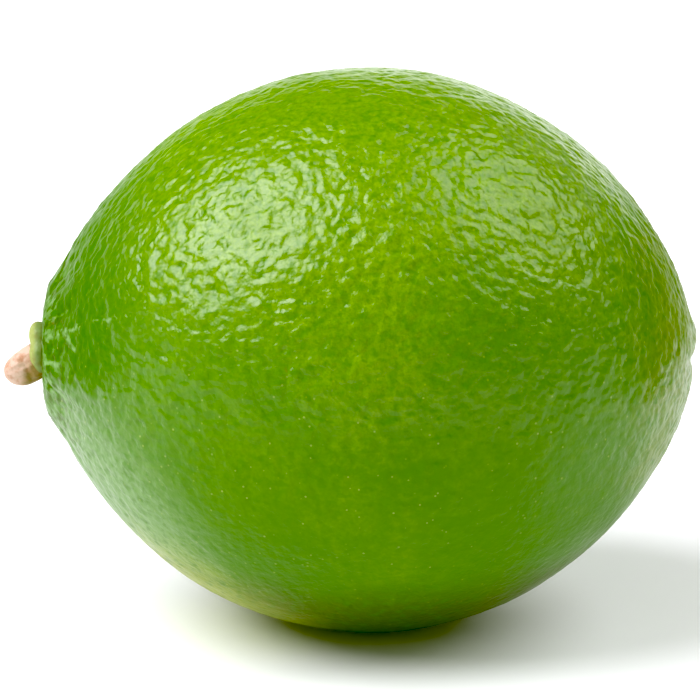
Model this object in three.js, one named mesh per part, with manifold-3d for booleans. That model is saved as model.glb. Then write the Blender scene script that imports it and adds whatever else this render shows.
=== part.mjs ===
// A lime lying on its side. Its stem end points along -X, its blossom end along +X, and +Z is up.
// The fruit is one solid. The calyx sits on the end of its short neck, and carries the stub of the stalk.
import * as THREE from "three";
import { mergeVertices } from "three/addons/utils/BufferGeometryUtils.js";
import Module from "manifold-3d";

const wasm = await Module();
wasm.setup();

// Fruit, all sizes in millimetres
const BODY_RADIUS = 25.5; // half its greatest thickness
const BODY_HALF_LENGTH = 29.44; // from its middle to either end
const BODY_TAPER = 0.59; // 0.5 would be an ellipse, and more is more pointed
const FLAT_DEPTH = 0.5; // how far the spot that it rests on is pressed in

// Neck at the stem end
const NECK_RADIUS = 6.14;
const NECK_HALF_LENGTH = 1.22;
const NECK_CORNER = 4; // 2 would be a ball, and more has a flatter end face
const NECK_BLEND = 4.8; // more makes the crease between neck and body tighter
const NECK_MIDDLE = NECK_HALF_LENGTH - BODY_HALF_LENGTH;

// Ridges that run out from the neck
const RIDGE_HEIGHT = 0.2;
const RIDGE_RING = 6.8; // distance from the axis where they are highest
const RIDGE_REACH_IN = 1.7;
const RIDGE_REACH_OUT = 4.2;

// Blossom end: the pit where the style was, and the lip above it
const PIT_DEPTH = 0.55;
const PIT_RADIUS = 0.7;
const LIP_HEIGHT = 0.3;
const LIP_RING = 1.9;
const LIP_WIDTH = 1.1;

// Broad, faint unevenness of the peel
const SWELL_HEIGHT = 0.1;
const SWELL_LENGTH = 11;
const SWELL_DIRECTIONS = [
  new THREE.Vector3(0.9, 0.3, 0.3),
  new THREE.Vector3(-0.4, 0.8, 0.5),
  new THREE.Vector3(0.2, -0.6, 0.8),
];

// Calyx: five short lobes round the foot of the stalk
const CALYX_RADIUS = 2.6;
const CALYX_TOP = 1.35; // height of its lobes over the neck's end face
const CALYX_FLOOR = 0.8; // height of the floor that the stub stands over
const CALYX_FULLNESS = 0.45;
const LOBES = 5;
const LOBE_DEPTH = 0.16; // share of the radius that the notches take
const LOBE_RISE = 0.14; // share of the height by which the lobes stand over the notches

// Stub of the stalk: a blunt thumb that leans down
const STUB_RADIUS = 1.56;
const STUB_LENGTH = 3.9;
const STUB_LEAN = THREE.MathUtils.degToRad(27);
const STUB_DROP = 0.72; // how far its foot is below the fruit's axis
const STUB_BLUNTNESS = 3.1;
const STUB_LUMPS = 0.045;

// Touching pieces stay this far apart
const GAP = 0.3;

// Fineness of the surfaces
const BODY_SIDES = 84;
const BODY_RINGS = 27; // in each half
const RING_CROWDING = 1.25; // more puts more of the rings near the ends
const CALYX_SIDES = 60;
const CALYX_RINGS = 12;
const STUB_SIDES = 28;
const STUB_RINGS = 12;

// A geometry as a solid, with its shared vertices merged.
function solidOf(geometry) {
  const bare = geometry.clone();
  bare.deleteAttribute("normal");
  bare.deleteAttribute("uv");
  const merged = mergeVertices(bare, 1e-4);
  return new wasm.Manifold(
    new wasm.Mesh({
      numProp: 3,
      vertProperties: new Float32Array(merged.attributes.position.array),
      triVerts: new Uint32Array(merged.index.array),
    }),
  );
}

// A solid as a geometry again.
function geometryOf(solid) {
  const cut = solid.getMesh();
  const geometry = new THREE.BufferGeometry();
  geometry.setAttribute("position", new THREE.BufferAttribute(cut.vertProperties, 3));
  geometry.setIndex(new THREE.BufferAttribute(cut.triVerts, 1));
  geometry.computeVertexNormals();
  return geometry;
}

// Everything below a level, as a block wide enough to cut any of the pieces.
function blockBelow(level) {
  const side = 4 * BODY_HALF_LENGTH;
  return solidOf(new THREE.BoxGeometry(side, side, side).translate(0, 0, level - side / 2));
}

function bell(distance, width) {
  return Math.exp(-((distance / width) ** 2));
}

// Distance from the axis to the peel at a place along it, before any relief.
function bodyRadius(x) {
  const along = Math.abs(x) / BODY_HALF_LENGTH;
  if (along >= 1) return 0;
  const oval = BODY_RADIUS * (1 - along ** 2) ** BODY_TAPER;
  const fromNeck = Math.min(1, Math.abs(x - NECK_MIDDLE) / NECK_HALF_LENGTH);
  const neck = NECK_RADIUS * (1 - fromNeck ** NECK_CORNER) ** (1 / NECK_CORNER);
  return (oval ** NECK_BLEND + neck ** NECK_BLEND) ** (1 / NECK_BLEND);
}

// Height of the peel's relief at a point, measured outwards.
function bodyRelief(point) {
  const ring = Math.hypot(point.y, point.z);
  const angle = Math.atan2(point.z, point.y);
  let height = 0;
  for (const direction of SWELL_DIRECTIONS) {
    const phase = (2 * Math.PI * point.dot(direction)) / SWELL_LENGTH;
    height += (SWELL_HEIGHT / SWELL_DIRECTIONS.length) * Math.sin(phase);
  }
  if (point.x < 0) {
    const reach = ring < RIDGE_RING ? RIDGE_REACH_IN : RIDGE_REACH_OUT;
    const ridges = 0.6 * Math.cos(8 * angle + 0.4) + 0.4 * Math.cos(13 * angle + 2);
    height += RIDGE_HEIGHT * bell(ring - RIDGE_RING, reach) * ridges;
  } else {
    const above = Math.max(0, Math.sin(angle));
    height += LIP_HEIGHT * bell(ring - LIP_RING, LIP_WIDTH) * above;
    height -= PIT_DEPTH * bell(ring, PIT_RADIUS);
  }
  return height;
}

function makeFruit() {
  const profile = [];
  for (let i = -BODY_RINGS; i <= BODY_RINGS; i += 1) {
    const share = Math.abs(i) / BODY_RINGS;
    const turn = (Math.PI / 2) * (1 - (1 - share) ** RING_CROWDING);
    const x = Math.sign(i) * BODY_HALF_LENGTH * Math.sin(turn);
    profile.push(new THREE.Vector2(share === 1 ? 0 : bodyRadius(x), x));
  }
  const geometry = new THREE.LatheGeometry(profile, BODY_SIDES);
  geometry.rotateZ(-Math.PI / 2);

  const position = geometry.attributes.position;
  const point = new THREE.Vector3();
  const normal = new THREE.Vector3();
  for (let i = 0; i < position.count; i += 1) {
    point.fromBufferAttribute(position, i);
    normal.fromBufferAttribute(geometry.attributes.normal, i);
    const atEnd = Math.hypot(point.y, point.z) < 1e-6;
    if (atEnd) normal.set(Math.sign(point.x), 0, 0);
    point.addScaledVector(normal, bodyRelief(point));
    position.setXYZ(i, point.x, point.y, point.z);
  }

  const resting = solidOf(geometry).subtract(blockBelow(FLAT_DEPTH - BODY_RADIUS));
  const peel = new THREE.MeshStandardMaterial({ color: 0x6a9a0a, roughness: 0.35, metalness: 0 });
  const mesh = new THREE.Mesh(geometryOf(resting), peel);
  mesh.name = "fruit";
  return mesh;
}

// The stub with its foot on the neck's end face. Here +Z points out of the fruit and +X is up.
// Extra thickness makes the room that it needs in the calyx.
function stubSolid(extra, foot) {
  const profile = [new THREE.Vector2(0, -STUB_RADIUS)];
  for (let i = 0; i <= STUB_RINGS; i += 1) {
    const share = Math.sin((Math.PI / 2) * (i / STUB_RINGS));
    const round = i === STUB_RINGS ? 0 : (1 - share ** STUB_BLUNTNESS) ** (1 / 2.2);
    profile.push(new THREE.Vector2((STUB_RADIUS + extra) * round, share * (STUB_LENGTH + extra)));
    if (i === 0) profile.splice(1, 0, new THREE.Vector2(STUB_RADIUS + extra, -STUB_RADIUS));
  }
  const geometry = new THREE.LatheGeometry(profile, STUB_SIDES);
  geometry.rotateX(Math.PI / 2);
  const position = geometry.attributes.position;
  for (let i = 0; i < position.count; i += 1) {
    const angle = Math.atan2(position.getY(i), position.getX(i));
    const lumps = 1 + STUB_LUMPS * (Math.cos(2 * angle + 0.6) + Math.cos(3 * angle + position.getZ(i)));
    position.setXY(i, position.getX(i) * lumps, position.getY(i) * lumps);
  }
  geometry.rotateY(-STUB_LEAN);
  geometry.translate(-STUB_DROP, 0, 0);
  return solidOf(geometry).subtract(blockBelow(foot));
}

function makeStub() {
  const bark = new THREE.MeshStandardMaterial({ color: 0xd6b898, roughness: 0.7, metalness: 0 });
  const mesh = new THREE.Mesh(geometryOf(stubSolid(0, CALYX_FLOOR + GAP)), bark);
  mesh.name = "stem_stub";
  return mesh;
}

function makeCalyx() {
  const middle = (GAP + CALYX_TOP) / 2;
  const halfHeight = (CALYX_TOP - GAP) / 2;
  const profile = [];
  for (let i = 0; i <= CALYX_RINGS; i += 1) {
    const turn = Math.PI * (i / CALYX_RINGS - 0.5);
    const atAxis = i === 0 || i === CALYX_RINGS;
    const radius = atAxis ? 0 : CALYX_RADIUS * Math.cos(turn) ** CALYX_FULLNESS;
    profile.push(new THREE.Vector2(radius, middle + halfHeight * Math.sin(turn)));
  }
  const geometry = new THREE.LatheGeometry(profile, CALYX_SIDES);
  geometry.rotateX(Math.PI / 2);
  const position = geometry.attributes.position;
  for (let i = 0; i < position.count; i += 1) {
    const x = position.getX(i);
    const y = position.getY(i);
    const lobe = 0.5 + 0.5 * Math.cos(LOBES * Math.atan2(y, x));
    const out = Math.hypot(x, y) / CALYX_RADIUS;
    const spread = 1 - LOBE_DEPTH * (1 - lobe) ** 2 * out;
    const rise = 1 - LOBE_RISE * (1 - lobe) * out;
    position.setXYZ(i, x * spread, y * spread, GAP + (position.getZ(i) - GAP) * rise);
  }

  const cupped = solidOf(geometry).subtract(stubSolid(GAP, CALYX_FLOOR));
  const leafy = new THREE.MeshStandardMaterial({ color: 0x9ba85a, roughness: 0.6, metalness: 0 });
  const mesh = new THREE.Mesh(geometryOf(cupped), leafy);
  mesh.name = "calyx";
  return mesh;
}

// The calyx and the stub are made upright, then stand out of the end face of the neck.
const stemEnd = new THREE.Group();
stemEnd.add(makeCalyx(), makeStub());
stemEnd.position.x = -BODY_HALF_LENGTH;
stemEnd.rotation.y = -Math.PI / 2;

const lime = new THREE.Group();
lime.add(makeFruit(), stemEnd);

// The origin is the middle of the lime's box, on the surface that it rests on.
const box = new THREE.Box3().setFromObject(lime, true);
const centre = box.getCenter(new THREE.Vector3());
lime.position.set(-centre.x, -centre.y, -box.min.z);

export default lime;
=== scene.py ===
import math

import bmesh
import bpy
import numpy as np
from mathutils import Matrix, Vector


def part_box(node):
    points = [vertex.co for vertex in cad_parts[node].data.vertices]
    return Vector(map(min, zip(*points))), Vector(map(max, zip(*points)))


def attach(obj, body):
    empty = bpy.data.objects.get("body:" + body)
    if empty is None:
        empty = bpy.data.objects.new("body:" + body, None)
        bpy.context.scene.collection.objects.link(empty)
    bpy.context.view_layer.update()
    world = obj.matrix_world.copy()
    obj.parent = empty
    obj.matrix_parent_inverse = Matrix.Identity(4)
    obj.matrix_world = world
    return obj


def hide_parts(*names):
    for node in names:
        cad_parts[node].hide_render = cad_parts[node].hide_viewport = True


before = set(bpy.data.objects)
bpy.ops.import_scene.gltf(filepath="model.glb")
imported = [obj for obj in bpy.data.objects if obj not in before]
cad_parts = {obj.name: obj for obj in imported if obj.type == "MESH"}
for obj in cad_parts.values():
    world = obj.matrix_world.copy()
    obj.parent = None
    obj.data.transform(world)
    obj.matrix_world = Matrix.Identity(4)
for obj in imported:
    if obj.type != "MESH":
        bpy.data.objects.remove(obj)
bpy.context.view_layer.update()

bl_info = {
    "name": "Whole lime",
    "version": (1, 0, 0),
    "blender": (4, 5, 0),
    "location": "3D View > Sidebar > Lime",
    "description": "Grows a green lime with its calyx and stalk, and sets it in a small studio",
    "category": "Add Mesh",
}

# Sizes of the fruit in millimetres, about its own middle, with +X at the blossom end
BODY_RADIUS = 25.5
BODY_HALF_LENGTH = 29.44
BODY_TAPER = 0.59  # 0.5 would be an ellipse, and more is more pointed
FLAT_DEPTH = 0.5
FLAT_SOFTNESS = 0.22
FLAT_REACH = 4  # height above the floor up to which its edge is softened
NECK_RADIUS = 6.14
NECK_HALF_LENGTH = 1.22
NECK_CORNER = 3  # 2 would be a ball, and more has a flatter end face
NECK_BLEND = 4.8  # more makes the crease between neck and body tighter
NECK_MIDDLE = NECK_HALF_LENGTH - BODY_HALF_LENGTH
RIDGE_HEIGHT = 0.2
RIDGE_RING = 6.8  # distance from the axis where they are highest
RIDGE_REACH_IN = 1.7
RIDGE_REACH_OUT = 4.2
PIT_DEPTH = 0.55
PIT_RADIUS = 0.7
LIP_HEIGHT = 0.3
LIP_RING = 1.9
LIP_WIDTH = 1.1
CLEFT_DEPTH = 0.4
CLEFT_LEVEL = -0.6
CLEFT_WIDTH = 0.7
CLEFT_REACH = 4.0
SWELL_HEIGHT = 0.1
SWELL_LENGTH = 11
SWELL_DIRECTIONS = ((0.9, 0.3, 0.3), (-0.4, 0.8, 0.5), (0.2, -0.6, 0.8))
PATCH_CUTS = 127  # cuts in each side of the six patches that the peel starts from

# Calyx and stub, measured outwards from the neck's end face
CALYX_RADIUS = 2.6
CALYX_TOP = 1.35
CALYX_SINK = 0.25
CALYX_FULLNESS = 0.45  # less gives its upper half a squarer edge
CALYX_FOOT = 0.12  # the same for its lower half, which goes straight down into the neck
CALYX_RINGS = 44
LOBES = 5
STUB_RADIUS = 1.56
STUB_LENGTH = 3.9
STUB_FOOT = 0.5
STUB_LEAN = math.radians(27)
STUB_DROP = 0.72
STUB_BLUNTNESS = 3.1
STUB_ROUNDNESS = 2.2
STUB_LUMPS = 0.045
STUB_RINGS = 60
STALK_SIDES = 144

# The photograph: its scale, the pixel of the fruit's middle and how far the camera looks down
MM_PER_PIXEL = 0.09027
MIDDLE_PIXEL = (369.6, 349.5)
PHOTO_ELEVATION = math.radians(15)
TO_CAMERA = Vector((0, -math.cos(PHOTO_ELEVATION), math.sin(PHOTO_ELEVATION)))
PICTURE_UP = Vector((0, math.sin(PHOTO_ELEVATION), math.cos(PHOTO_ELEVATION)))

# Marks that it shows: the pixels that each runs through, and half its width in millimetres
PALE_CREASES = (
    (((504, 277), (517, 278), (532, 286), (545, 284), (566, 291), (591, 295)), 0.2),
    (((668, 356), (660, 366), (654, 376), (644, 388)), 0.22),
    (((46, 343), (58, 336), (71, 331), (88, 327)), 0.42),
    (((72, 331), (77, 340), (83, 349)), 0.4),
    (((47, 364), (58, 362), (69, 365)), 0.34),
    (((56, 383), (64, 391), (74, 404)), 0.34),
    (((104, 322), (116, 321), (128, 319)), 0.25),
)
CREASE_HEIGHT = 0.1
GROOVE_DEPTH = 0.15
MEAN_RADIUS = 27
SCARS = (
    (((659, 363), (661, 357)), 0.35),
    (((140, 165), (150, 153), (165, 141)), 0.7),
    (((48, 326), (58, 322), (70, 321)), 0.25),
    (((510, 520),), 0.25),
    (((435, 600),), 0.2),
    (((455, 595),), 0.2),
    (((284, 334),), 0.25),
    (((290, 368),), 0.25),
)
DARK_GROOVES = (
    (((663, 372), (654, 386), (646, 402)), 0.3),
    (((510, 357), (517, 366)), 0.14),
    (((44, 353),), 0.4),
)

# Broad tints: the middle pixel, the distances in millimetres where each starts and is full, and its share
DARK_PATCH = ((478, 338), 10.5, 2.0, 0.38)
# Painted reflection of the pale floor on the lower left and lower right rims
FLOOR_REFLECTION_PATCHES = (((122, 508), 15.0, 3.75, 0.75), ((660, 450), 9.0, 2.25, 0.5))
GROUND_PATCH = ((215, 594), 17.0, 6.0, 0.93)

# The wax on the peel
WAX_IOR = 1.52
FULL_WAX = 0.5
WAX_LOSS = 0.45  # how much of it the dullest places have lost
BUMP_SHARE = 0.6  # share of the small relief that also bends the light

# Metres in a millimetre, and where the middle of the fruit is in the frame
MM = 0.001
fruit_low, fruit_high = (Vector(corner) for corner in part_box("fruit"))
MIDDLE = Vector((
    fruit_low.x + BODY_HALF_LENGTH * MM,
    (fruit_low.y + fruit_high.y) / 2,
    fruit_low.z + (BODY_RADIUS - FLAT_DEPTH) * MM,
))


def linear(red, green, blue):
    """A screen colour from 0 to 255 as the linear light that the materials use."""
    shares = (value / 255 for value in (red, green, blue))
    return tuple(s / 12.92 if s <= 0.04045 else ((s + 0.055) / 1.055) ** 2.4 for s in shares)


def size_of(name, default, description, **limits):
    return bpy.props.FloatProperty(name=name, default=default, description=description, **limits)


def colour_of(name, default, description):
    return bpy.props.FloatVectorProperty(
        name=name, default=default, description=description, subtype="COLOR", size=3, min=0, max=1
    )


class LimePeel(bpy.types.PropertyGroup):
    """Relief and colours of the peel."""

    pore_spacing: size_of("Pore spacing", 1.15, "Distance between oil glands in millimetres", min=0.3)
    pore_depth: size_of("Pore depth", 0.06, "Depth of the dimple over each gland in millimetres", min=0)
    pebble: size_of("Pebbles", 0.14, "Height of the small pebbling of the peel in millimetres", min=0)
    ripple: size_of("Ripple", 0.2, "Height of the wider waves of the peel in millimetres", min=0)
    dome: size_of("Domes", 0.05, "Height of the low domes between channels in millimetres", min=0)
    grain: size_of("Grain", 0.052, "Height of the finest grain of the peel in millimetres", min=0)
    gloss: size_of("Roughness", 0.32, "Roughness of the waxy skin", min=0, max=1, subtype="FACTOR")
    green: colour_of("Green", linear(99, 134, 3), "Main green of the peel")
    deep: colour_of("Deep green", linear(53, 108, 2), "Darker green of the mottling and of the lower side")
    shade: colour_of("Shaded green", linear(53, 68, 5), "Darkest green, round the spot that it rests on")
    bright: colour_of("Yellow green", linear(110, 145, 6), "Lighter green of the mottling")
    olive: colour_of("Olive", linear(99, 114, 5), "Tint at the blossom end")
    ground: colour_of("Ground patch", linear(150, 162, 52), "Pale yellow green low on the stem side")
    # Pale green of the creases, also used for painted highlight on the crests at both ends and painted
    # reflection of the floor along the lower rims
    pale: colour_of("Pale ridge", linear(124, 158, 104), "Dry pale green on ridges and creases")
    speck: colour_of("Speck", linear(155, 167, 89), "Tiny pale specks")
    scar: colour_of("Scar", linear(118, 98, 50), "Tan of healed scars")


class LimeStalk(bpy.types.PropertyGroup):
    """Colours of the calyx and of the stub of stalk."""

    lobe: colour_of("Lobe", linear(149, 160, 86), "Pale yellow-green of the calyx")
    lobe_edge: colour_of("Lobe edge", linear(118, 138, 84), "Grey-green of its edges")
    lobe_dry: colour_of("Dry lobe", linear(123, 108, 56), "Brown where it has dried")
    bark: colour_of("Stalk", linear(207, 175, 158), "Pinkish tan of the stalk")
    bark_shade: colour_of("Stalk shade", linear(174, 123, 99), "Redder tan in its hollows")
    bark_foot: colour_of("Stalk foot", linear(126, 101, 49), "Yellow-brown at its foot")


class LimeStudio(bpy.types.PropertyGroup):
    """Camera, lights and floor."""

    lens: size_of("Lens", 200.0, "Focal length of the camera in millimetres", min=20)
    frame_width: size_of("Frame width", 63.3, "Width of the picture at the lime in millimetres", min=10)
    floor: colour_of("Floor", (0.93, 0.935, 0.94), "Pale floor and backdrop")
    key: size_of("Main light", 37.5, "Power of the large softbox in watts", min=0, unit="POWER")
    fill: size_of("Second light", 16.0, "Power of the smaller softbox in watts", min=0, unit="POWER")
    back: size_of("Back light", 0.38, "Power of the light on the backdrop in watts", min=0, unit="POWER")
    room: size_of("Room light", 0.45, "Brightness of the light that comes from in front", min=0)


# Shapes, worked out for all the points of a mesh at once


def bell(distance, width):
    return np.exp(-((distance / width) ** 2))


def body_radius(x):
    """Distance from the axis to the peel, before its relief."""
    along = np.clip(np.abs(x) / BODY_HALF_LENGTH, 0, 1)
    oval = BODY_RADIUS * (1 - along**2) ** BODY_TAPER
    from_neck = np.clip(np.abs(x - NECK_MIDDLE) / NECK_HALF_LENGTH, 0, 1)
    neck = NECK_RADIUS * (1 - from_neck**NECK_CORNER) ** (1 / NECK_CORNER)
    return (oval**NECK_BLEND + neck**NECK_BLEND) ** (1 / NECK_BLEND)


def body_relief(p):
    """Height of the large relief at points p: the solid's, with finer ridges and a cleft under the lip."""
    ring = np.hypot(p[:, 1], p[:, 2])
    angle = np.arctan2(p[:, 2], p[:, 1])
    height = np.zeros(len(p))
    for direction in SWELL_DIRECTIONS:
        phase = 2 * np.pi * (p @ np.array(direction)) / SWELL_LENGTH
        height += SWELL_HEIGHT / len(SWELL_DIRECTIONS) * np.sin(phase)
    reach = np.where(ring < RIDGE_RING, RIDGE_REACH_IN, RIDGE_REACH_OUT)
    ridges = 0.6 * np.cos(8 * angle + 0.4) + 0.4 * np.cos(13 * angle + 2)
    ridges += 0.22 * np.cos(21 * angle + 1.1) + 0.18 * np.cos(34 * angle + 0.3)
    stem_end = RIDGE_HEIGHT * bell(ring - RIDGE_RING, reach) * ridges
    lip = LIP_HEIGHT * bell(ring - LIP_RING, LIP_WIDTH) * np.maximum(0, np.sin(angle))
    cleft = CLEFT_DEPTH * bell(p[:, 2] - CLEFT_LEVEL, CLEFT_WIDTH) * bell(p[:, 1], CLEFT_REACH)
    blossom_end = lip - PIT_DEPTH * bell(ring, PIT_RADIUS) - cleft
    return height + np.where(p[:, 0] < 0, stem_end, blossom_end)


def photo_point(pixel):
    """The place on the peel, in millimetres about its middle, that a pixel of the photograph shows."""
    x = (pixel[0] - MIDDLE_PIXEL[0]) * MM_PER_PIXEL
    rise = (MIDDLE_PIXEL[1] - pixel[1]) * MM_PER_PIXEL
    ring = float(body_radius(np.array([x]))[0])
    turn = math.asin(max(-1, min(1, rise / ring))) + PHOTO_ELEVATION
    return Vector((x, -ring * math.cos(turn), ring * math.sin(turn)))


def read_vectors(mesh, name):
    values = np.empty(len(mesh.vertices) * 3)
    mesh.vertices.foreach_get(name, values)
    return values.reshape(-1, 3)


def write_positions(mesh, points):
    mesh.vertices.foreach_set("co", np.ascontiguousarray(points).ravel())
    mesh.update()


def mesh_object(name, bm):
    mesh = bpy.data.meshes.new(name)
    bm.to_mesh(mesh)
    bm.free()
    piece = bpy.data.objects.new(name, mesh)
    bpy.context.scene.collection.objects.link(piece)
    return piece


def finish_piece(piece, material, node_name):
    piece.data.shade_smooth()
    piece.data.materials.append(material)
    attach(piece, "root")
    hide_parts(node_name)


def spun_profile(name, profile, sides):
    """A profile of (radius, height) pairs turned about +Z into a closed shape."""
    bm = bmesh.new()
    points = [bm.verts.new((radius, 0, height)) for radius, height in profile]
    edges = [bm.edges.new(pair) for pair in zip(points, points[1:])]
    bmesh.ops.spin(
        bm, geom=points + edges, cent=(0, 0, 0), axis=(0, 0, 1), dvec=(0, 0, 0), angle=2 * math.pi,
        steps=sides, use_merge=True, use_normal_flip=False, use_duplicate=False,
    )
    bmesh.ops.remove_doubles(bm, verts=bm.verts, dist=1e-5)
    bmesh.ops.recalc_face_normals(bm, faces=bm.faces)
    return mesh_object(name, bm)


def stand_on_neck(p):
    """Points given as up, across and out of the neck's end face, in millimetres, as points of the frame."""
    placed = np.empty_like(p)
    placed[:, 0] = MIDDLE.x - (BODY_HALF_LENGTH + p[:, 2]) * MM
    placed[:, 1] = MIDDLE.y + p[:, 1] * MM
    placed[:, 2] = MIDDLE.z + p[:, 0] * MM
    return placed


# Nodes


def node(tree, kind, inputs=(), **settings):
    """Adds a node. Inputs pair a socket's name or number with a value or with the socket that feeds it."""
    made = tree.nodes.new(kind)
    for name, value in settings.items():
        setattr(made, name, value)
    for name, value in dict(inputs).items():
        if isinstance(value, bpy.types.NodeSocket):
            tree.links.new(value, made.inputs[name])
        else:
            made.inputs[name].default_value = value
    return made


def calc(tree, operation, *values):
    return node(tree, "ShaderNodeMath", enumerate(values), operation=operation).outputs[0]


def vector_calc(tree, operation, *values):
    made = node(tree, "ShaderNodeVectorMath", enumerate(values), operation=operation)
    return made.outputs["Value" if operation in ("DOT_PRODUCT", "LENGTH", "DISTANCE") else "Vector"]


def scaled(tree, vector, share):
    return node(tree, "ShaderNodeVectorMath", {0: vector, "Scale": share}, operation="SCALE").outputs[0]


def product(tree, first, second):
    return calc(tree, "MULTIPLY", first, second)


def ramp(tree, value, start, end, low=0.0, high=1.0):
    """A smooth step from low to high while value goes from start to end."""
    if start > end:
        start, end, low, high = end, start, high, low
    inputs = {"Value": value, "From Min": start, "From Max": end, "To Min": low, "To Max": high}
    return node(tree, "ShaderNodeMapRange", inputs, interpolation_type="SMOOTHSTEP").outputs["Result"]


def noise(tree, vector, size, detail=2.0, roughness=0.5, output=0):
    """Noise with features of about that size."""
    inputs = {"Vector": vector, "Scale": 1 / size, "Detail": detail, "Roughness": roughness}
    return node(tree, "ShaderNodeTexNoise", inputs).outputs[output]


def cells(tree, vector, spacing, randomness=0.9):
    """Distance to the nearest of scattered points in shares of their spacing, and three numbers for it."""
    inputs = {"Vector": vector, "Scale": 1 / spacing, "Randomness": randomness}
    made = node(tree, "ShaderNodeTexVoronoi", inputs)
    picks = node(tree, "ShaderNodeSeparateXYZ", {0: made.outputs["Color"]}).outputs
    return made.outputs["Distance"], picks


def mix(tree, share, first, second):
    made = node(tree, "ShaderNodeMix", data_type="RGBA")
    for socket, value in zip((made.inputs[0], made.inputs[6], made.inputs[7]), (share, first, second)):
        if isinstance(value, bpy.types.NodeSocket):
            tree.links.new(value, socket)
        else:
            socket.default_value = (*value, 1.0) if socket.type == "RGBA" else value
    return made.outputs[2]


def body_point(tree, position):
    """A position in metres as millimetres about the middle of the fruit."""
    return vector_calc(tree, "MULTIPLY_ADD", position, (1 / MM,) * 3, -MIDDLE / MM)


def along_and_up(tree, p):
    """How far a point is along the fruit and above its middle, in millimetres."""
    axes = node(tree, "ShaderNodeSeparateXYZ", {0: p}).outputs
    return axes[0], axes[2]


def pore_share(tree, p, spacing):
    """1 in the middle of a deep pore and 0 on the peel between the pores."""
    drift = vector_calc(tree, "SUBTRACT", noise(tree, p, 3.2, 1.0, output=1), (0.5,) * 3)
    bent = vector_calc(tree, "MULTIPLY_ADD", drift, (1.6,) * 3, p)
    distance, picks = cells(tree, bent, spacing)
    dimple = ramp(tree, distance, 0.5, 0.1)
    strength = ramp(tree, picks[0], 0.1, 0.8, 0.2, 1.0)
    region = ramp(tree, noise(tree, p, 8.0, 1.0), 0.35, 0.65, 0.55, 1.0)
    return product(tree, dimple, product(tree, strength, region))


def radiating_noise(tree, p, width, reach):
    """Noise drawn out along the fruit, so that it fans out from both ends."""
    sideways = vector_calc(tree, "NORMALIZE", vector_calc(tree, "MULTIPLY", p, (0, 1, 1)))
    turned = vector_calc(tree, "MULTIPLY", sideways, (1 / width,) * 3)
    stretched = vector_calc(tree, "MULTIPLY_ADD", p, (1 / reach, 0, 0), turned)
    return noise(tree, stretched, 1.0, 2.0)


def peel_height(tree, p, sizes):
    """Height in millimetres of the small relief of the peel: pores, ripples and the creases at the ends."""
    along, upright = along_and_up(tree, p)
    pores = product(tree, pore_share(tree, p, sizes.pore_spacing), -sizes.pore_depth)

    # The level keeps the whole relief even about the smooth surface
    level = 0.35 * sizes.dome + 0.1 * sizes.pore_depth - 0.5 * (sizes.ripple + sizes.pebble)
    ripples = calc(tree, "MULTIPLY_ADD", noise(tree, p, 1.9, 1.0), sizes.ripple, level)
    ripples = calc(tree, "MULTIPLY_ADD", noise(tree, p, 0.6, 0.0), sizes.pebble, ripples)
    distance = cells(tree, vector_calc(tree, "ADD", p, (30, 0, 0)), 1.05)[0]
    domes = product(tree, product(tree, distance, distance), -2.0 * sizes.dome)
    ripples = calc(tree, "ADD", domes, ripples)

    # Creases that fan out from both ends, weaker above than below
    near_stem = ramp(tree, along, -17.0, -28.0, 0.0, 0.2)
    near_tip = ramp(tree, along, 22.0, 28.0, 0.0, 0.2)
    fan = calc(tree, "SUBTRACT", radiating_noise(tree, p, 0.07, 2.5), 0.5)
    fans = product(tree, fan, calc(tree, "ADD", near_stem, near_tip))
    fans = product(tree, fans, ramp(tree, upright, 3.0, -5.0, 0.2, 1.0))

    # The peel is smoother underneath
    calm = ramp(tree, upright, -15.0, 2.0, 0.35, 1.0)
    return calc(tree, "MULTIPLY_ADD", calc(tree, "ADD", pores, ripples), calm, fans)


def mark_height(tree, p):
    """Height in millimetres of the creases and grooves that the photograph shows."""
    ragged = ragged_point(tree, p, 0.6, 0.3)
    crests = product(tree, marks(tree, ragged, PALE_CREASES), CREASE_HEIGHT)
    return calc(tree, "MULTIPLY_ADD", marks(tree, ragged, DARK_GROOVES), -GROOVE_DEPTH, crests)


def ragged_point(tree, p, size, reach):
    """The direction of a point from the middle, pushed about by noise to give marks ragged edges."""
    drift = vector_calc(tree, "SUBTRACT", noise(tree, p, size, 2.0, output=1), (0.5,) * 3)
    return vector_calc(tree, "NORMALIZE", vector_calc(tree, "MULTIPLY_ADD", drift, (2 * reach,) * 3, p))


def marks(tree, direction, paths):
    """1 along lines through pixels of the photograph, or on single pixels, and 0 away from them."""
    share = 0.0
    for pixels, width in paths:
        points = [photo_point(pixel).normalized() for pixel in pixels]
        nearest = vector_calc(tree, "DISTANCE", direction, points[0])
        for start, end in zip(points, points[1:]):
            run = end - start
            offset = vector_calc(tree, "SUBTRACT", direction, start)
            reach = vector_calc(tree, "DOT_PRODUCT", offset, run / run.length_squared)
            reach = node(tree, "ShaderNodeClamp", {0: reach}).outputs[0]
            along = scaled(tree, run, reach)
            nearest = calc(tree, "MINIMUM", nearest, vector_calc(tree, "DISTANCE", offset, along))
        angle = width / MEAN_RADIUS
        share = calc(tree, "MAXIMUM", ramp(tree, nearest, angle, 0.0), share)
    return share


def patch(tree, p, pixel, start, full, share, raggedness=0.0):
    """A share round the place that a pixel of the photograph shows, with an edge roughened by noise."""
    distance = vector_calc(tree, "DISTANCE", p, photo_point(pixel))
    if raggedness:
        distance = calc(tree, "MULTIPLY_ADD", noise(tree, p, 4.0, 3.0), raggedness, distance)
    return ramp(tree, distance, start, full, 0.0, share)


def new_material(name):
    material = bpy.data.materials.new(name)
    material.use_nodes = True
    tree = material.node_tree
    tree.nodes.clear()
    shader = node(tree, "ShaderNodeBsdfPrincipled")
    output = node(tree, "ShaderNodeOutputMaterial")
    tree.links.new(shader.outputs[0], output.inputs["Surface"])
    place = node(tree, "ShaderNodeTexCoord").outputs["Object"]
    return material, tree, shader, place


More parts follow.
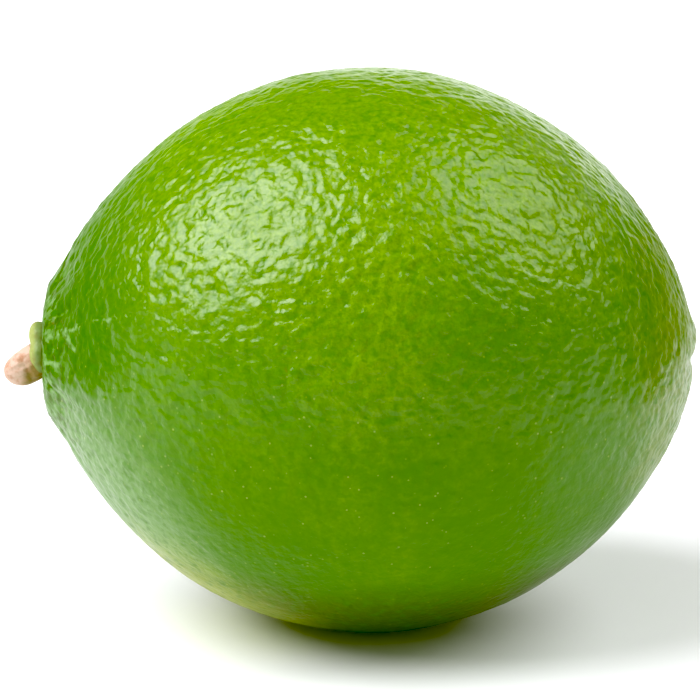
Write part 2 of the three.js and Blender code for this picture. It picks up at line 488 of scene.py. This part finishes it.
def set_bump(tree, shader, height):
    """Bends the light by a height in millimetres."""
    bump = node(tree, "ShaderNodeBump", {"Height": height, "Distance": MM})
    tree.links.new(bump.outputs[0], shader.inputs["Normal"])


def mottled_green(tree, p, sizes):
    """The green of the peel, with its clouds, flecks, painted shade on both sides of the middle and a dark
    stem end.
    """
    along, upright = along_and_up(tree, p)

    # Clouds of two greens, darker low down and towards the blossom end
    cloud = calc(tree, "MULTIPLY_ADD", upright, 0.02, noise(tree, p, 9.0, 3.0))
    cloud = ramp(tree, calc(tree, "MULTIPLY_ADD", along, -0.008, cloud), 0.2, 0.85)
    colour = mix(tree, cloud, sizes.deep, sizes.green)
    # Small lighter flecks, weaker low down
    most = ramp(tree, upright, -8.0, 8.0, 0.3, 0.8)
    flecks = ramp(tree, noise(tree, p, 1.2, 3.0, 0.6), 0.42, 0.72, 0.0, most)
    colour = mix(tree, flecks, colour, sizes.bright)
    # Painted shade: darker on both sides of the middle, where the light falls off, but not on top; and
    # darker in one patch
    sides = ramp(tree, calc(tree, "ABSOLUTE", along), 0.0, 10.0, 0.0, 0.54)
    sides = product(tree, sides, ramp(tree, upright, 13.0, 3.0))
    colour = mix(tree, sides, colour, sizes.deep)
    colour = mix(tree, patch(tree, p, *DARK_PATCH), colour, sizes.deep)
    # Fine dark grain, and a dark stem end
    fine = ramp(tree, noise(tree, p, 0.35, 2.0, 0.6), 0.35, 0.65, 0.42, 0.0)
    colour = mix(tree, fine, colour, sizes.deep)
    colour = mix(tree, ramp(tree, along, -16.0, -26.0, 0.0, 0.85), colour, sizes.deep)
    return mix(tree, ramp(tree, along, -18.0, -26.0, 0.0, 0.2), colour, sizes.shade)


def peel_colour(tree, p, sizes):
    along, upright = along_and_up(tree, p)
    colour = mottled_green(tree, p, sizes)

    # Painted reflection of the pale floor along the lower rims, painted shade darkest round the spot that
    # it rests on, and a pale yellow-green patch where it lay on the ground
    for floor_reflection in FLOOR_REFLECTION_PATCHES:
        colour = mix(tree, patch(tree, p, *floor_reflection), colour, sizes.pale)
    # Painted shade low down round the spot that it rests on, with a ragged edge
    under = calc(tree, "MULTIPLY_ADD", noise(tree, p, 6.0, 2.0), 3.0, upright)
    colour = mix(tree, ramp(tree, under, -13.0, -19.5, 0.0, 0.9), colour, sizes.shade)
    colour = mix(tree, patch(tree, p, *GROUND_PATCH, raggedness=5.0), colour, sizes.ground)

    # Darker pores
    pores = pore_share(tree, p, sizes.pore_spacing)
    colour = mix(tree, product(tree, pores, 0.4), colour, sizes.deep)

    # Olive at the blossom end
    tip = calc(tree, "MULTIPLY_ADD", noise(tree, p, 5.0), 8.0, along)
    colour = mix(tree, ramp(tree, tip, 24.0, 33.0, 0.0, 0.75), colour, sizes.olive)

    # Painted shade of the pebbling: short dark dashes in a band below the middle
    band = ramp(tree, calc(tree, "ABSOLUTE", calc(tree, "ADD", upright, 3.5)), 8.0, 2.0, 0.0, 0.6)
    dashes = noise(tree, vector_calc(tree, "MULTIPLY", p, (0.45, 1, 1)), 0.75, 2.0)
    colour = mix(tree, product(tree, ramp(tree, dashes, 0.46, 0.34), band), colour, sizes.deep)

    # Small darker blotches all over
    lumps = noise(tree, p, 0.8, 2.0)
    colour = mix(tree, ramp(tree, lumps, 0.5, 0.34, 0.0, 0.5), colour, sizes.deep)

    # Pale crests at both ends, painted highlight and reflection along the ridges there, and painted shade
    # in the hollows round the neck
    crest_highlight = ramp(tree, calc(tree, "ADD", radiating_noise(tree, p, 0.07, 2.5), lumps), 1.0, 1.25)
    stem_end = ramp(tree, along, -25.5, -28.5, 0.0, 0.5)
    blossom_end = ramp(tree, along, 25.0, 29.0, 0.0, 0.5)
    crest_highlight = product(tree, crest_highlight, calc(tree, "ADD", stem_end, blossom_end))
    colour = mix(tree, crest_highlight, colour, sizes.pale)
    round_neck = ramp(tree, along, -24.0, -28.0, 0.0, 0.5)
    neck_hollow_shade = product(tree, ramp(tree, lumps, 0.5, 0.36), round_neck)
    colour = mix(tree, neck_hollow_shade, colour, sizes.shade)

    # Tiny pale specks, most of them low on the fruit
    distance, picks = cells(tree, p, 0.8, 1.0)
    dot = product(tree, ramp(tree, distance, 0.18, 0.04), ramp(tree, picks[1], 0.1, 1.0))
    low_down = ramp(tree, upright, 12.0, -2.0, 0.3, 0.62)
    colour = mix(tree, product(tree, dot, low_down), colour, sizes.speck)

    # Healed scars, creases and grooves where the photograph shows them
    ragged = ragged_point(tree, p, 0.6, 0.3)
    worn = ramp(tree, lumps, 0.38, 0.62, 0.0, 0.75)
    scars = product(tree, marks(tree, ragged, SCARS), product(tree, worn, 0.7))
    colour = mix(tree, scars, colour, sizes.scar)
    creases = product(tree, marks(tree, ragged, PALE_CREASES), worn)
    colour = mix(tree, creases, colour, sizes.pale)
    grooves = product(tree, marks(tree, ragged, DARK_GROOVES), 0.6)
    return mix(tree, grooves, colour, sizes.deep)


def peel_wax(tree, p):
    """How much wax the peel has: less on the upper side of both ends, on the shoulder behind the stem,
    and a little less low down in the middle."""
    along, upright = along_and_up(tree, p)
    from_middle = calc(tree, "ABSOLUTE", along)

    rise = vector_calc(tree, "DOT_PRODUCT", p, PICTURE_UP)
    rise = calc(tree, "MULTIPLY_ADD", noise(tree, p, 2.0, 2.0), 5.0, rise)
    lowest = calc(tree, "MAXIMUM", calc(tree, "MULTIPLY_ADD", along, 1.2, -33.4), -3.5)
    upper_side = ramp(tree, calc(tree, "SUBTRACT", rise, lowest), 1.2, 3.8)
    dull = product(tree, ramp(tree, from_middle, 19.0, 25.0), upper_side)

    dusty = product(tree, ramp(tree, from_middle, 22.0, 11.0), ramp(tree, upright, 3.0, -4.0))
    dull = calc(tree, "MULTIPLY_ADD", dusty, 0.38, dull)

    behind = ramp(tree, vector_calc(tree, "DOT_PRODUCT", p, TO_CAMERA), 15.5, 8.5)
    shoulder = product(tree, ramp(tree, along, -5.0, -13.0), ramp(tree, upright, -4.0, 4.0))
    dull = calc(tree, "MAXIMUM", dull, product(tree, shoulder, behind))
    return calc(tree, "MULTIPLY_ADD", dull, -WAX_LOSS, FULL_WAX)


def peel_material(sizes):
    material, tree, shader, place = new_material("waxy_peel")
    p = body_point(tree, place)
    rough = ramp(tree, noise(tree, p, 4.0, 3.0), 0.3, 0.7, sizes.gloss - 0.04, sizes.gloss + 0.06)
    tree.links.new(peel_colour(tree, p, sizes), shader.inputs["Base Color"])
    tree.links.new(rough, shader.inputs["Roughness"])
    tree.links.new(peel_wax(tree, p), shader.inputs["Specular IOR Level"])
    shader.inputs["IOR"].default_value = WAX_IOR
    grain = product(tree, noise(tree, p, 0.42, 1.0), sizes.grain)
    set_bump(tree, shader, calc(tree, "MULTIPLY_ADD", peel_height(tree, p, sizes), BUMP_SHARE, grain))
    return material


def relief_modifier_tree(sizes):
    """Geometry nodes that raise the small relief of the peel from its surface."""
    tree = bpy.data.node_groups.new("small_relief", "GeometryNodeTree")
    tree.interface.new_socket("Geometry", in_out="INPUT", socket_type="NodeSocketGeometry")
    tree.interface.new_socket("Geometry", in_out="OUTPUT", socket_type="NodeSocketGeometry")
    source = node(tree, "NodeGroupInput").outputs[0]
    place = node(tree, "GeometryNodeInputPosition").outputs[0]
    normal = node(tree, "GeometryNodeInputNormal").outputs[0]
    p = body_point(tree, place)
    height = calc(tree, "ADD", peel_height(tree, p, sizes), mark_height(tree, p))
    offset = scaled(tree, normal, product(tree, height, MM))
    moved = node(tree, "GeometryNodeSetPosition", {"Geometry": source, "Offset": offset}).outputs[0]
    node(tree, "NodeGroupOutput", {0: moved})
    return tree


def apply_modifiers(piece):
    depsgraph = bpy.context.evaluated_depsgraph_get()
    applied = bpy.data.meshes.new_from_object(piece.evaluated_get(depsgraph), depsgraph=depsgraph)
    first = piece.data
    piece.modifiers.clear()
    piece.data = applied
    applied.name = first.name + "_mesh"
    bpy.data.meshes.remove(first)


class LIME_OT_fruit(bpy.types.Operator):
    """Grows the fruit: its body, neck, blossom end and peel"""

    bl_idname = "lime.fruit"
    bl_label = "Fruit"

    def execute(self, context):
        sizes = context.scene.lime_peel
        bm = bmesh.new()
        bmesh.ops.create_cube(bm, size=2)
        bmesh.ops.subdivide_edges(bm, edges=bm.edges[:], cuts=PATCH_CUTS, use_grid_fill=True)
        piece = mesh_object("fruit_peel", bm)
        mesh = piece.data

        # The cube's points spread evenly over a ball, and then moved out to the outline of the fruit
        cube = np.tan(read_vectors(mesh, "co") * math.pi / 4)
        ball = cube / np.linalg.norm(cube, axis=1)[:, None]
        x = ball[:, 0] * BODY_HALF_LENGTH
        ring = np.hypot(ball[:, 1], ball[:, 2])
        spread = np.where(ring > 1e-6, body_radius(x) / np.maximum(ring, 1e-6), 0)
        points = np.column_stack((x, ball[:, 1] * spread, ball[:, 2] * spread))
        write_positions(mesh, points)
        points = points + read_vectors(mesh, "normal") * body_relief(points)[:, None]
        # The flat spot that it rests on
        over_floor = points[:, 2] + BODY_RADIUS - FLAT_DEPTH
        rounded = 0.5 * (over_floor + np.sqrt(over_floor**2 + FLAT_SOFTNESS**2))
        points[:, 2] = np.where(over_floor < FLAT_REACH, rounded, over_floor) - BODY_RADIUS + FLAT_DEPTH
        write_positions(mesh, points * MM + np.array(MIDDLE))

        relief = relief_modifier_tree(sizes)
        piece.modifiers.new("small_relief", "NODES").node_group = relief
        apply_modifiers(piece)
        bpy.data.node_groups.remove(relief)
        finish_piece(piece, peel_material(sizes), "fruit")
        return {"FINISHED"}


def out_of_neck(tree, p):
    """How far a point stands out of the neck's end face, in millimetres."""
    return calc(tree, "MULTIPLY_ADD", along_and_up(tree, p)[0], -1.0, -BODY_HALF_LENGTH)


def calyx_material(colours):
    material, tree, shader, place = new_material("dry_sepals")
    p = body_point(tree, place)
    ring = vector_calc(tree, "LENGTH", vector_calc(tree, "MULTIPLY", p, (0, 1, 1)))
    mottle = noise(tree, p, 0.7, 3.0, 0.6)
    colour = mix(tree, ramp(tree, out_of_neck(tree, p), 0.9, 0.35), colours.lobe, colours.lobe_edge)
    colour = mix(tree, ramp(tree, mottle, 0.45, 0.75, 0.0, 0.5), colour, colours.lobe_dry)
    inner = ramp(tree, ring, 1.9, 1.2, 0.0, 0.7)
    colour = mix(tree, inner, colour, colours.lobe_dry)
    tree.links.new(colour, shader.inputs["Base Color"])
    shader.inputs["Roughness"].default_value = 0.55
    set_bump(tree, shader, product(tree, noise(tree, p, 0.3, 3.0, 0.6), 0.08))
    return material


class LIME_OT_calyx(bpy.types.Operator):
    """Grows the calyx: five short sepals pressed on the end of the neck"""

    bl_idname = "lime.calyx"
    bl_label = "Calyx"

    def execute(self, context):
        middle = (CALYX_TOP - CALYX_SINK) / 2
        half_height = (CALYX_TOP + CALYX_SINK) / 2
        profile = []
        for i in range(CALYX_RINGS + 1):
            turn = math.pi * (i / CALYX_RINGS - 0.5)
            fullness = CALYX_FULLNESS if turn > 0 else CALYX_FOOT
            radius = CALYX_RADIUS * math.cos(turn) ** fullness if 0 < i < CALYX_RINGS else 0
            profile.append((radius, middle + half_height * math.sin(turn)))
        piece = spun_profile("calyx_sepals", profile, STALK_SIDES)

        # Uneven lobes with notches between them, a dip round the stalk, and an edge that droops on one side
        p = read_vectors(piece.data, "co")
        angle = np.arctan2(p[:, 1], p[:, 0])
        out = np.hypot(p[:, 0], p[:, 1]) / CALYX_RADIUS
        lobe = 0.5 + 0.5 * np.cos(LOBES * (angle + 0.35))
        uneven = 1 + 0.06 * np.cos(angle) + 0.05 * np.cos(2 * angle + 1.9) + 0.02 * np.cos(9 * angle)
        spread = (1 - 0.1 * (1 - lobe) ** 2 * out) * (1 + (uneven - 1) * out)
        rise = 1 - (0.16 * (1 - lobe) ** 2 + 0.14 * (1 - np.cos(angle))) * out
        dip = 0.5 * bell(out, 0.45)
        droop = 0.25 * np.clip(out - 0.75, 0, 1) * (1 - np.sin(angle))
        p[:, 0] *= spread
        p[:, 1] *= spread
        p[:, 2] = np.where(p[:, 2] > 0, p[:, 2] * rise - dip * (p[:, 2] > middle) - droop, p[:, 2])
        write_positions(piece.data, stand_on_neck(p))
        finish_piece(piece, calyx_material(context.scene.lime_stalk), "calyx")
        return {"FINISHED"}


def stalk_material(colours):
    material, tree, shader, place = new_material("dry_stalk")
    p = body_point(tree, place)
    mottle = noise(tree, p, 0.9, 3.0, 0.6)
    colour = mix(tree, ramp(tree, mottle, 0.42, 0.72), colours.bark, colours.bark_shade)
    patchy = calc(tree, "MULTIPLY_ADD", mottle, 1.6, out_of_neck(tree, p))
    lower = calc(tree, "MULTIPLY_ADD", along_and_up(tree, p)[1], 0.35, patchy)
    colour = mix(tree, ramp(tree, lower, 2.1, 1.2, 0.0, 0.9), colour, colours.bark_foot)
    tree.links.new(colour, shader.inputs["Base Color"])
    shader.inputs["Roughness"].default_value = 0.6
    set_bump(tree, shader, product(tree, noise(tree, p, 0.22, 4.0, 0.65), 0.07))
    return material


class LIME_OT_stalk(bpy.types.Operator):
    """Grows the stub of stalk: a blunt thumb that leans down out of the calyx"""

    bl_idname = "lime.stalk"
    bl_label = "Stalk"

    def execute(self, context):
        profile = [(0, STUB_FOOT), (0.5 * STUB_RADIUS, STUB_FOOT)]
        for i in range(STUB_RINGS + 1):
            share = math.sin(math.pi / 2 * i / STUB_RINGS)
            width = STUB_RADIUS * max(0, 1 - share**STUB_BLUNTNESS) ** (1 / STUB_ROUNDNESS)
            profile.append((width, STUB_FOOT + share * (STUB_LENGTH - STUB_FOOT)))
        profile[-1] = (0, STUB_LENGTH)
        piece = spun_profile("stalk_stub", profile, STALK_SIDES)

        # Lumps, grooves along it that fade towards its tip, and a pinch on the side that faces the camera
        p = read_vectors(piece.data, "co")
        angle = np.arctan2(p[:, 1], p[:, 0])
        height = p[:, 2].copy()
        lumps = 1 + STUB_LUMPS * (np.cos(2 * angle + 0.6) + np.cos(3 * angle + height))
        grooves = 0.02 * np.cos(9 * angle + 0.8 * height) + 0.014 * np.cos(16 * angle - height)
        tip = np.clip(height / STUB_LENGTH, 0, 1) ** 6
        lumps += grooves * (1 - tip)
        facing = np.cos(angle + 1.75)
        lumps -= 0.12 * bell(height - 1.9 - 0.35 * np.sin(angle), 0.28) * np.clip(facing, 0, 1) ** 2
        p[:, 0] *= lumps
        p[:, 1] *= lumps
        lean = np.array((
            (math.cos(STUB_LEAN), 0, math.sin(STUB_LEAN)),
            (0, 1, 0),
            (-math.sin(STUB_LEAN), 0, math.cos(STUB_LEAN)),
        ))
        p = p @ lean
        p[:, 0] -= STUB_DROP
        write_positions(piece.data, stand_on_neck(p))
        finish_piece(piece, stalk_material(context.scene.lime_stalk), "stem_stub")
        return {"FINISHED"}


class LIME_OT_stage(bpy.types.Operator):
    """Sets the floor, the lights and the camera"""

    bl_idname = "lime.stage"
    bl_label = "Studio"

    black_level = (0.018, 0.005, 0.06)
    floor_width = 3.0
    floor_front = -1.2
    floor_back = 1.0
    wall_height = 0.35
    wall_bend = 0.3
    sensor_width = 36

    def execute(self, context):
        studio = context.scene.lime_studio
        self.make_floor(studio)
        self.make_camera(context, studio)
        # Direction from the lime, width and distance of each light
        self.make_light("main_softbox", (-0.61, -0.15, 0.78), 1.36, 1.5, studio.key)
        self.make_light("second_softbox", (0.64, 0.09, 0.76), 1.3, 1.5, studio.fill)
        self.make_light("back_panel", (0.25, 0.93, 0.27), 0.5, 0.7, studio.back)
        self.make_room(context, studio)
        view = context.scene.view_settings
        view.view_transform = "Standard"
        view.use_curve_mapping = True
        view.curve_mapping.black_level = self.black_level
        view.curve_mapping.update()
        return {"FINISHED"}

    def make_floor(self, studio):
        bm = bmesh.new()
        bmesh.ops.create_grid(bm, x_segments=1, y_segments=1, size=0.5)
        depth = self.floor_back - self.floor_front
        bmesh.ops.scale(bm, vec=(self.floor_width, depth, 1), verts=bm.verts)
        bmesh.ops.translate(bm, vec=(0, (self.floor_back + self.floor_front) / 2, 0), verts=bm.verts)
        back = [edge for edge in bm.edges if all(v.co.y > self.floor_back - MM for v in edge.verts)]
        raised = bmesh.ops.extrude_edge_only(bm, edges=back)["geom"]
        top = [item for item in raised if isinstance(item, bmesh.types.BMVert)]
        bmesh.ops.translate(bm, vec=(0, 0, self.wall_height), verts=top)
        bmesh.ops.bevel(
            bm, geom=back, offset=self.wall_bend, offset_type="OFFSET", affect="EDGES", segments=24,
            profile=0.5, material=-1,
        )
        floor = mesh_object("studio_floor", bm)
        floor.data.shade_smooth()
        material, tree, shader, place = new_material("pale_paper")
        grain = noise(tree, place, 0.004, 3.0)
        shade = ramp(tree, grain, 0.3, 0.7, 0.0, 0.03)
        colour = mix(tree, shade, studio.floor, tuple(0.9 * value for value in studio.floor))
        tree.links.new(colour, shader.inputs["Base Color"])
        shader.inputs["Roughness"].default_value = 0.8
        floor.data.materials.append(material)

    def make_room(self, context, studio):
        """Soft light from the side that faces the camera, and little from behind."""
        world = bpy.data.worlds.new("room")
        world.use_nodes = True
        tree = world.node_tree
        direction = node(tree, "ShaderNodeTexCoord").outputs["Generated"]
        away = node(tree, "ShaderNodeSeparateXYZ", {0: direction}).outputs[1]
        strength = ramp(tree, away, -0.2, 0.5, studio.room, 0.08 * studio.room)
        tree.links.new(strength, tree.nodes["Background"].inputs["Strength"])
        tree.nodes["Background"].inputs["Color"].default_value = (1, 1, 1, 1)
        context.scene.world = world

    def make_camera(self, context, studio):
        data = bpy.data.cameras.new("photo_camera")
        data.lens = studio.lens
        data.sensor_width = self.sensor_width
        distance = studio.frame_width * MM * studio.lens / data.sensor_width
        data.clip_start = 0.01
        camera = bpy.data.objects.new("photo_camera", data)
        camera.location = Vector((0, 0, MIDDLE.z)) + distance * TO_CAMERA
        camera.rotation_euler = (math.pi / 2 - PHOTO_ELEVATION, 0, 0)
        context.scene.collection.objects.link(camera)
        context.scene.camera = camera

    def make_light(self, name, direction, width, distance, power):
        data = bpy.data.lights.new(name, "AREA")
        data.shape = "DISK"
        data.size = width
        data.energy = power
        light = bpy.data.objects.new(name, data)
        outwards = Vector(direction).normalized()
        light.location = MIDDLE + distance * outwards
        light.rotation_euler = outwards.to_track_quat("Z", "Y").to_euler()
        bpy.context.scene.collection.objects.link(light)


class LIME_PT_panel(bpy.types.Panel):
    """Lists the lime's pieces and settings"""

    bl_label = "Lime"
    bl_idname = "LIME_PT_panel"
    bl_space_type = "VIEW_3D"
    bl_region_type = "UI"
    bl_category = "Lime"

    def draw(self, context):
        for settings, operators in (
            (context.scene.lime_peel, (LIME_OT_fruit,)),
            (context.scene.lime_stalk, (LIME_OT_calyx, LIME_OT_stalk)),
            (context.scene.lime_studio, (LIME_OT_stage,)),
        ):
            column = self.layout.column(align=True)
            for name in settings.__annotations__:
                column.prop(settings, name)
            for operator in operators:
                column.operator(operator.bl_idname)


SETTINGS = {"lime_peel": LimePeel, "lime_stalk": LimeStalk, "lime_studio": LimeStudio}
CLASSES = (*SETTINGS.values(), LIME_OT_fruit, LIME_OT_calyx, LIME_OT_stalk, LIME_OT_stage, LIME_PT_panel)


def register():
    for cls in CLASSES:
        bpy.utils.register_class(cls)
    for name, cls in SETTINGS.items():
        setattr(bpy.types.Scene, name, bpy.props.PointerProperty(type=cls))


def unregister():
    for name in SETTINGS:
        delattr(bpy.types.Scene, name)
    for cls in reversed(CLASSES):
        bpy.utils.unregister_class(cls)


def main():
    register()
    bpy.ops.lime.fruit()
    bpy.ops.lime.calyx()
    bpy.ops.lime.stalk()
    bpy.ops.lime.stage()


if __name__ == "__main__":
    main()
